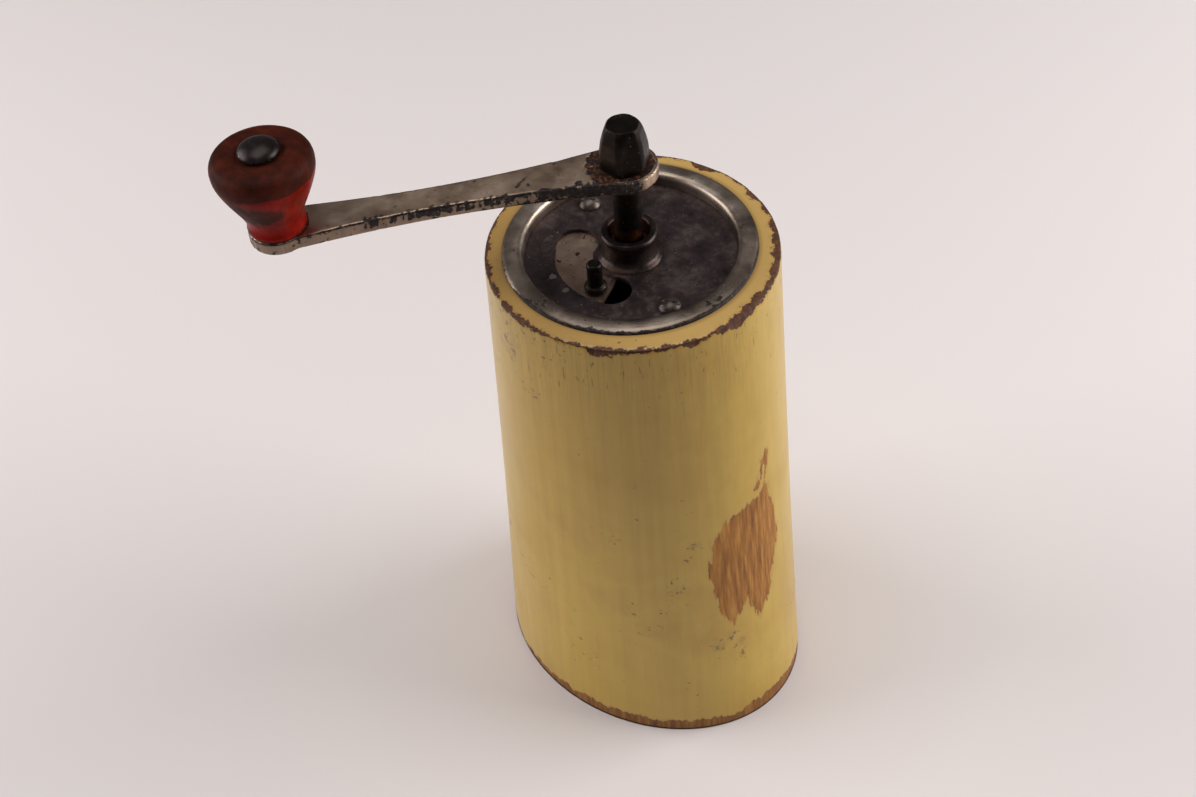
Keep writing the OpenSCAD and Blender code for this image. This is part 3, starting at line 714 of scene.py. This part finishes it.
def screw_head(at, slot_deg):
    """A round head: a cap of a sphere 2.25 mm high on a 3.5 mm radius, with a 1 mm slot pressed into it, and
    closed below."""
    rings, columns = np.linspace(0.02, 1, 26) * 3.5, 96
    t = np.arange(columns) / columns * TAU
    r = rings[:, None] + 0 * t
    cap = np.sqrt(np.maximum(4.05 ** 2 - r ** 2, 0)) - 1.8
    cap = np.where(r > 3.4, cap * 0.9, cap)
    a = np.radians(slot_deg)
    across = np.abs(-np.sin(a) * r * np.cos(t) + np.cos(a) * r * np.sin(t))
    cap = np.minimum(cap, 1.25 + smooth_step(across, 0.42, 0.56) * 9)
    top = np.stack([r * np.cos(t), r * np.sin(t), cap], -1)
    pole = np.zeros((1, columns, 3))
    pole[..., 2] = cap[0].mean()
    skirt = turned(np.array([[3.5, 0.12], [3.4, 0.0], [1.5, 0.0], [1.5, -8.0], [0, -8.0]]), columns)
    grid = np.concatenate([pole, top, skirt])
    return grid + np.array([*at, PLATE_Z + 0.01])


heads = [(screw_head(place_at(SCREW_R, d), slot), False, {"rust": 0.35})
         for d, slot in zip(SCREW_DEGS, SCREW_SLOTS)]
build("plate_screw_heads", heads, head_steel, "mill_body", ["plate_screws"])


# ---------------------------------------------------------------- crank

def crank_outline(count=420):
    """The arm seen from above: round ends of 9.3 and 8.1 mm, joined by sides that are arcs of 330 mm radius,
    narrowest 52 mm out. Gives the outline, and for each point its partner on the middle line."""
    def half_width(x):
        arc = 334.7 - np.sqrt(330.0 ** 2 - (x - 52) ** 2)
        hub = np.sqrt(np.maximum(HUB_R ** 2 - x ** 2, 0))
        end = np.sqrt(np.maximum(END_R ** 2 - (x - CRANK_R) ** 2, 0))
        body = np.where((x > 0) & (x < CRANK_R), arc, 0)
        return np.maximum(np.maximum(body, hub), end)

    k = np.linspace(0, np.pi, count // 2 + 1)
    x = (CRANK_R + END_R - HUB_R) / 2 - (CRANK_R + END_R + HUB_R) / 2 * np.cos(k)
    y = half_width(x)
    x = np.concatenate([x, x[-2:0:-1]])
    y = np.concatenate([y, -y[-2:0:-1]])
    middle = np.stack([np.clip(x, 0, CRANK_R), 0 * x], -1)
    return np.stack([x, y], -1), middle


# Knocks through the plating on the arm's top, in mm: place along and across it, half length, half width.
ARM_MARKS = [(29.5, 1.2, 1.9, 0.55), (27.7, -0.6, 1.1, 0.4), (27.0, 2.0, 0.8, 0.6), (52, -2.5, 0.5, 0.3),
             (63, 1.0, 0.4, 0.3), (41, -3.4, 0.5, 0.3), (18.5, -5.0, 0.6, 0.4)]


def crank_arm():
    """The bar as a grid: rows go from the middle line of the top face out to the edge, down and back under, set
    in by a rounded corner of 0.5 mm; columns go round the outline. Knocks along the edges press in up to
    0.25 mm."""
    outline, middle = crank_outline()
    reach = np.linalg.norm(outline - middle, axis=1)[None]
    # each row as (distance in from the outline, height); 9.9 stands for the middle line
    top_row = (9.9, 8.4, 7.6, 7.0, 6.4, 5.8, 5.2, 4.7, 4.2, 3.7, 3.2, 2.8, 2.4, 2.0, 1.7, 1.4, 1.1, 0.9)
    corner = [(0.7, 0.01), (0.45, 0.05), (0.25, 0.15), (0.1, 0.35), (0.02, 0.65)]
    profile = ([(d, ARM_THICK) for d in top_row] + [(d, ARM_THICK - h) for d, h in corner]
               + [(0.0, 2.9), (0.0, 2.0), (0.0, 1.1)] + corner[::-1] + [(d, 0.0) for d in (1.0, 2.0, 4.0, 9.9)])
    inset, height = np.array(profile).T[:, :, None]
    inset = np.where(inset > 9, reach, np.minimum(inset, reach))
    spot = np.linspace(0, TAU, len(outline), endpoint=False)
    knocks = np.maximum(0, ripple(spot, 41, 18, 9, 0.35) - 0.25)[None] * 0.5
    knocks_here = knocks * np.exp(-inset / 0.5)
    share = 1 - inset / reach - np.minimum(knocks_here, 0.25) / reach
    flat = middle[None] + (outline - middle)[None] * share[..., None]
    along, across = flat[..., 0].copy(), flat[..., 1].copy()
    side = np.sign(across)
    a = np.radians(CRANK_DEG)
    flat = flat @ np.array([[np.cos(a), np.sin(a)], [-np.sin(a), np.cos(a)]])
    z = ARM_Z + height - np.where(height > 2, 0.24, 0.0) * knocks_here
    # chips stand in groups along the front upper edge, with a few on the back edge and in the top face
    facing = smooth_step(side, -0.1, 0.6)
    top = height > 3.6
    fine = ripple(spot, 42, 18, 17, 0.2)[None]
    group = smooth_step(ripple(spot, 43, 16, 7, 0.3)[None], -0.2, 0.25)
    near_hub = 1 - smooth_step(along, 14, 40)
    near_knob = smooth_step(along, 78, 84)
    band = (0.3 + 2.3 * group * np.maximum(fine + 0.3, 0) + 0.45 * near_hub) * (1 - 0.8 * near_knob)
    front = 0.62 * facing * (1 - smooth_step(inset, band * 0.7, band + 0.45))
    back = 0.58 * (1 - facing) * (1 - smooth_step(inset, 0.1, 0.25 + 0.55 * np.maximum(fine - 0.1, 0) * group))
    wear = np.where(top, np.maximum(np.maximum(front, back), 0.12 + 0.16 * smooth_step(along, 30, 85)), 0.0)
    sides = 0.43 + 0.16 * near_hub + 0.05 * fine + 0.22 * group * facing * (height > 1.8) * (1 - near_knob)
    beyond_hub = smooth_step(-along, 1.0, 5.0)
    wear = np.where(top, wear * (1 - 0.55 * beyond_hub), sides - 0.34 * beyond_hub)
    for mark_x, mark_y, long_half, wide_half in ARM_MARKS:
        dx, dy = along - mark_x, across - mark_y
        slant = np.hypot((dx * 0.6 + dy * 0.8) / long_half, (dx * 0.8 - dy * 0.6) / wide_half)
        wear = np.where(top, np.maximum(wear, 0.62 * (1 - smooth_step(slant, 0.6, 1.3))), wear)
    # a dark ring and rust round the nut, most of it towards the knob, and a dark ring at the knob's foot, which
    # is painted shade where the knob stands on the arm
    hub_far, knob_far = np.hypot(along, across), np.hypot(along - CRANK_R, across)
    rust = 1.25 * (1 - smooth_step(hub_far, 7.6, 9.0)) * top
    rust = np.maximum(rust, 1.2 * (1 - smooth_step(hub_far, 9.5, 13.6)) * smooth_step(along, 1, 6) * top)
    rust = np.maximum(rust, 0.78 * (1 - smooth_step(hub_far, 9, 10)) * top)
    rust = np.maximum(rust, 1.2 * (1 - smooth_step(knob_far, 8.2, 9.0)) * top * (inset > 0.6))
    return np.concatenate([flat, z[..., None]], -1), {"wear": wear, "rust": rust}


arm_grid, arm_marks = crank_arm()
build("nickel_crank_arm", [(arm_grid, False, arm_marks)], arm_nickel, "crank", ["crank_arm"])


def crank_nut(columns=240):
    """A tall nut: at each height the radius is the softer minimum of a hexagon, whose width falls from 12.9 mm
    at the foot to two thirds of it at the top, and a bullet profile, so its corners are rounded and its crown
    is a flat disc."""
    t = np.arange(columns) / columns * TAU
    local = (t - np.radians(NUT_DEG) + np.pi / 6) % (np.pi / 3) - np.pi / 6
    bullet = dense(eased([(6.6, 0.0), (7.0, 0.45), (7.0, 4.2), (6.8, 6.1), (6.3, 8.7), (5.55, 11.4),
                          (5.0, 12.6), (4.4, 13.28)], 0.5), 0.3)
    r, z = bullet[:, 0][:, None], bullet[:, 1][:, None]
    taper = np.interp(z, np.array([0, 0.38, 0.66, 0.87, 1]) * NUT_H, [1, 0.98, 0.905, 0.79, 0.665])
    flats = NUT_AF / 2 * taper / np.cos(local)
    soft = -np.log(np.exp(-25 * r) + np.exp(-25 * flats)) / 25
    radius = np.minimum(soft, r)
    wall = np.stack([radius * np.cos(t), radius * np.sin(t), z + 0 * t], -1)
    last = radius[-1].min()
    crown = turned(np.array([[last - 0.25, 13.22], [last - 0.6, 13.12], [2.4, 13.02], [1.0, 13.0],
                             [0.0, 13.0]]), columns)
    base = turned(np.array([[0.0, 0.0], [3.0, 0.0]]), columns)
    grid = np.concatenate([base, wall, crown])
    return grid + np.array([0, 0, ARM_TOP])


nut_grid = crank_nut()
nut_rust = 0.75 * (1 - smooth_step(nut_grid[..., 2] - ARM_TOP, 0, 2.5))
build("black_crank_nut", [(nut_grid, False, {"rust": nut_rust})], black_steel, "crank", ["crank_nut"])


def spindle():
    """The spindle: a round of 4 mm radius that passes into a 5.6 mm square below the bearing and at the arm,
    and into the thread at each end. The square's radius at angle t is 2.8 / max(|cos t|, |sin t|)."""
    rows = dense(np.array([[2.75, 66.0], [2.75, 77.4], [1, 77.6], [1, 96.8], [4, 97.1], [4, 120], [4, 181],
                           [3.96, 183.5], [3.9, 186], [3.97, 190], [4.0, 195], [4, 203.6], [1, 203.7],
                           [1, 208.0], [2.75, 208.4], [2.75, 217]]), 6)
    t = np.arange(96) / 96 * TAU
    square = 2.8 / np.maximum(np.abs(np.cos(t)), np.abs(np.sin(t)))
    r, z = rows[:, :1], rows[:, 1:]
    is_square = ((z > 77.5) & (z < 97.0)) | ((z > 203.65) & (z < 208.2))
    r = np.where(is_square, np.minimum(square[None], 3.96), r)
    wall = np.stack([r * np.cos(t), r * np.sin(t), z + 0 * t], -1)
    ends = [turned(np.array([[0, 66.0]]), 96), turned(np.array([[0, 217.0]]), 96)]
    grid = np.concatenate([ends[0], wall, ends[1]])
    zz = grid[..., 2]
    rust = 0.9 * np.exp(-((zz - 184.5) / 3.0) ** 2) + 0.4 * smooth_step(zz, 199, 203)
    return grid, {"rust": rust}


spindle_grid, spindle_marks = spindle()
build("steel_spindle", [(spindle_grid, False, spindle_marks)], black_steel, "crank", ["spindle"])

knob_at = place_at(CRANK_R, CRANK_DEG)
rise = np.linspace(0.08, np.pi / 2, 22)
dome = np.stack([5.65 * np.cos(rise), KNOB_TOP - 0.3 + 2.85 * np.sin(rise)], -1)
dome[-1, 0] = 0
pin_profile = np.concatenate([
    [(0, ARM_Z - 1.15), (2.2, ARM_Z - 1.15), (3.3, ARM_Z - 0.85), (4.1, ARM_Z - 0.1), (4.1, ARM_Z + 0.02),
     (2.5, ARM_Z + 0.02), (2.5, KNOB_TOP - 0.45), (5.3, KNOB_TOP - 0.45), (5.62, KNOB_TOP - 0.3)], dome])
pin_grid = turned(dense(pin_profile, 4), 112, at=knob_at, wobble=0.04, seed=51)
build("domed_knob_rivet", [(pin_grid, False, {"rust": 0.25})], rivet_steel, "crank", ["knob_pin"])


def knob():
    """The knob: a trumpet turned about its pin, from a foot of 8 mm radius through a slight waist to a rounded
    rim of 13.8 mm and a gently hollowed crown."""
    low = ARM_TOP + 0.1
    curve = [(2.6, 0.0), (7.4, 0.0), (7.95, 0.35), (8.0, 1.2), (7.72, 2.3), (7.72, 3.2), (8.02, 4.6),
             (8.6, 6.3), (9.5, 8.3), (10.5, 10.3), (11.4, 12.2), (12.2, 14.0), (12.9, 15.8), (13.4, 17.3), (13.72, 18.9),
             (13.78, 20.4), (13.55, 21.8), (13.0, 22.9), (12.1, 23.65), (10.6, 24.15), (8.6, 24.35),
             (6.9, 24.4), (6.25, 24.2), (6.15, 23.95), (2.6, 23.95)]
    profile = dense(eased(curve, 0.8, closed=True), 0.9)
    profile[:, 1] += low
    columns = 200
    grid = turned(profile, columns, at=knob_at, wobble=0.05, seed=61)

    def rule(r, z, angle, wavy):
        h = z - low
        crown = smooth_step(h, 16.5, 20.5)
        # the side towards the right lamp is kept red, partly as painted light, and partly because the palm
        # reaches it less
        lit_and_kept_side = turned_to(angle, 350, 0.2, 0.9)
        smear = 0.85 * np.exp(-((h - 10.5) / 5.2) ** 2) * turned_to(angle, 288, 0.25, 0.85)
        # painted shade: browner under the rim, less so on the lit side, and browner at the base where the knob
        # stands on the arm
        under = 0.42 * np.exp(-((h - 16.0) / 2.6) ** 2) * (1 - 0.6 * lit_and_kept_side)
        foot = 0.45 * (1 - smooth_step(h, 0, 1.3))
        pin_side = 0.5 * (1 - smooth_step(r, 6.3, 7.6)) * smooth_step(h, 20, 22)
        kept = 0.12 * lit_and_kept_side * (1 - crown)
        return {"worn": 0.80 * crown + smear + under + foot + pin_side + 0.12 * wavy - kept}

    return grid, marks(profile, columns, rule, 62)


knob_grid, knob_marks = knob()
build("red_lacquered_knob", [(knob_grid, True, knob_marks)], knob_wood, "knob_body", ["knob"])


# ---------------------------------------------------------------- shutter and cup

stud_at = place_at(STUD_R, STUD_DEG)
stud_low, stud_top = PLATE_Z - 1.1, PLATE_Z + 8.8
stud_profile = dense(eased([(0, stud_low - 1.6), (2.55, stud_low - 1.6), (2.55, stud_low - 0.9),
                            (1.5, stud_low - 0.9), (1.5, stud_low), (3.25, stud_low), (3.25, stud_low + 1.7),
                            (2.9, stud_low + 2.15), (2.4, stud_low + 2.5), (2.25, stud_low + 3.2),
                            (2.2, stud_top - 0.7), (1.75, stud_top), (0, stud_top)], 0.5), 1.0)
stud_grid = turned(stud_profile, 80, at=stud_at, wobble=0.03, seed=71)
build("black_shutter_stud", [(stud_grid, False, {"rust": 0.2})], black_steel, "shutter", ["shutter_stud"])


def grounds_cup():
    """The cup: a spun wall with a rolled rim and rounded corners, and a finger rib across the hollow under its
    floor."""
    wall = dense(eased([(0, 14.0), (27.7, 14.0), (27.7, 2.0), (28.6, 2.0), (28.6, 65.3), (28.5, 66.0),
                        (27.8, 66.0), (27.7, 65.3), (27.7, 14.9), (0, 14.9)], 0.8), 8)
    shell = turned(wall, 200)
    t = np.linspace(0, TAU, 24, endpoint=False)
    x = np.linspace(-28.0, 28.0, 40)
    wide = 1.5 * np.sqrt(np.clip(1 - (np.abs(x) / 28.2) ** 14, 0.02, 1))
    side = np.sign(np.cos(t)) * np.abs(np.cos(t)) ** 0.5
    up = np.sign(np.sin(t)) * np.abs(np.sin(t)) ** 0.4
    rib = np.stack([x[:, None] + 0 * t, wide[:, None] * side, 8.6 + 5.5 * up + 0 * x[:, None]], -1)
    ends = [np.broadcast_to(rib[k].mean(0), (1, len(t), 3)) for k in (0, -1)]
    return [(shell, False, {}), (np.concatenate([ends[0], rib, ends[1]]), False, {})]


build("tinned_grounds_cup", grounds_cup(), tin, "cup", ["grounds_cup"])


# ---------------------------------------------------------------- finishes on the design's own solids

for solid, finish in {
    "top_plate": plate_steel, "top_bush": bush_steel, "tie_rods": plain_steel, "rod_nuts": plain_steel,
    "shutter_washer": plain_steel, "outer_burr": burr_iron, "burr_bridge": burr_iron,
    "bridge_screws": plain_steel, "bridge_bush": brass, "burr_spring": plain_steel, "inner_burr": burr_iron, "detent_spring": plain_steel,
    "adjusting_nut": brass, "shutter_plate": sheet_nickel,
}.items():
    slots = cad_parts[solid].material_slots
    for s in slots:
        s.material = finish
    if not slots:
        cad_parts[solid].data.materials.append(finish)


# ---------------------------------------------------------------- stage

def matte_sheet():
    """Matte white paper sweep: pale, faintly pink, with no pattern."""
    return blank("matte_paper_sweep", Base_Color=rgb("e6dfde"), Roughness=0.85)[0]


floor_mesh = bpy.data.meshes.new("paper_floor")
wide = 3.0
corners = [(-wide, -wide, 0), (wide, -wide, 0), (wide, wide, 0), (-wide, wide, 0)]
floor_mesh.from_pydata(corners, [], [(0, 1, 2, 3)])
floor_mesh.materials.append(matte_sheet())
floor = bpy.data.objects.new("paper_floor", floor_mesh)
bpy.context.scene.collection.objects.link(floor)

# Camera: a 50 mm lens on a 36 mm frame, looking down from the front right, tilted a little.
CAMERA_AT = (0.2281, -0.2726, 0.4925)
SIGHT = np.array([-0.4590, 0.5098, -0.7277])
RIGHTWARD = np.array([0.7835, 0.6184, -0.0610])
SIGHT = SIGHT / np.linalg.norm(SIGHT)
RIGHTWARD = RIGHTWARD - SIGHT * (RIGHTWARD @ SIGHT)
RIGHTWARD = RIGHTWARD / np.linalg.norm(RIGHTWARD)
UPWARD = np.cross(RIGHTWARD, SIGHT)
lens = bpy.data.cameras.new("studio_camera")
lens.lens, lens.sensor_width, lens.sensor_fit = 49.97, 36.0, "HORIZONTAL"
lens.clip_start, lens.clip_end = 0.01, 50
camera = bpy.data.objects.new("studio_camera", lens)
pose = np.eye(4)
pose[:3, 0], pose[:3, 1], pose[:3, 2], pose[:3, 3] = RIGHTWARD, UPWARD, -SIGHT, CAMERA_AT
camera.matrix_world = Matrix(pose.tolist())
bpy.context.scene.collection.objects.link(camera)
bpy.context.scene.camera = camera


def soft_box(name, at, towards, size, watts, colour):
    """A soft light of size (width, height) in metres at a place, facing a point."""
    light = bpy.data.lights.new(name, "AREA")
    light.shape, light.size, light.size_y = "RECTANGLE", size[0], size[1]
    light.energy, light.color = watts, colour
    lamp = bpy.data.objects.new(name, light)
    back = np.array(at, float) - towards
    back = back / np.linalg.norm(back)
    side = np.cross((0, 0, 1.0), back)
    side = side / np.linalg.norm(side)
    place = np.eye(4)
    place[:3, 0], place[:3, 1], place[:3, 2], place[:3, 3] = side, np.cross(back, side), back, at
    lamp.matrix_world = Matrix(place.tolist())
    bpy.context.scene.collection.objects.link(lamp)


ahead = np.array([-0.67, 0.74, 0.0])
right = np.array([0.743, 0.669, 0.0])
soft_box("right_box", 1.0 * right + (0, 0, 0.55), (0, 0, 0.1), (0.8, 0.7), 10.5, (1.0, 0.985, 0.975))
soft_box("left_box", -1.0 * right + 0.15 * ahead + (0, 0, 0.55), (0, 0, 0.1), (0.8, 0.7), 7.6,
         (1.0, 0.975, 0.97))
soft_box("top_box", 0.08 * ahead - 0.1 * right + (0, 0, 1.5), (0, 0, 0.1), (1.2, 0.8), 7.6, (1.0, 0.99, 0.985))

world = bpy.data.worlds.new("pale_room")
world.use_nodes = True
background = world.node_tree.nodes["Background"]
background.inputs[0].default_value = (0.86, 0.80, 0.80, 1)
background.inputs[1].default_value = 0.12
bpy.context.scene.world = world
bpy.context.scene.view_settings.view_transform = "Standard"
